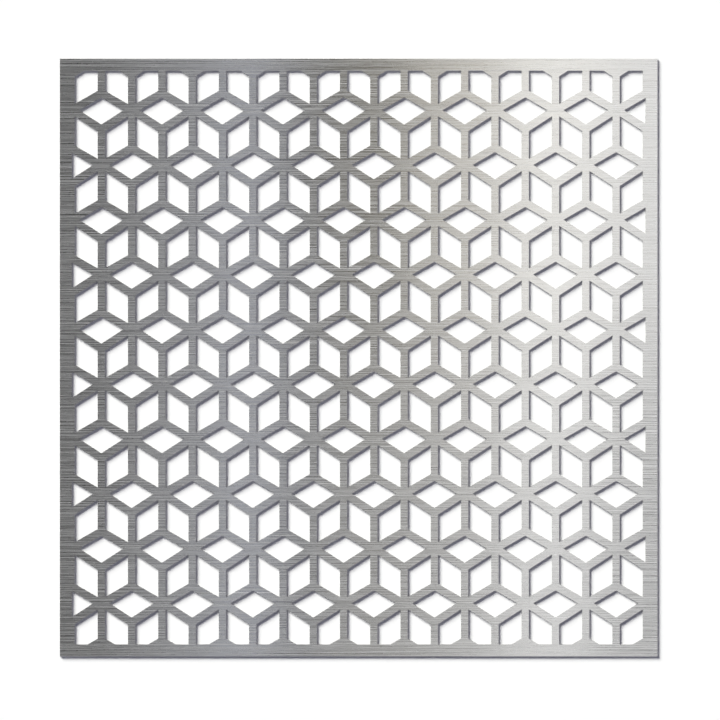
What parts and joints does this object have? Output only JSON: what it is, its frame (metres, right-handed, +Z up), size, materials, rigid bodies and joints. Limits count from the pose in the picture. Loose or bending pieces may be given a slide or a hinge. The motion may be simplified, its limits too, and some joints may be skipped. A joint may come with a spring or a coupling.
{
  "type": "decorative perforated metal sheet",
  "caption": "Flat square sheet of brushed steel, cut right through with a tumbling block pattern inside a plain border, for screens, grilles and cabinet fronts",
  "frame": {"origin": "middle of the sheet's lower face, where it lies on the floor", "axes": "+X to the sheet's right edge as pictured, along the brushed grain; +Y to its upper edge, the way the blocks' diamonds point; +Z up, out of the brushed front face"},
  "size_m": [0.6, 0.6, 0.003],
  "materials": {
    "brushed_sheet": "brushed along the width"
  },
  "bodies": {
    "root": {"perforated_sheet": "brushed_sheet"}
  },
  "joints": []
}
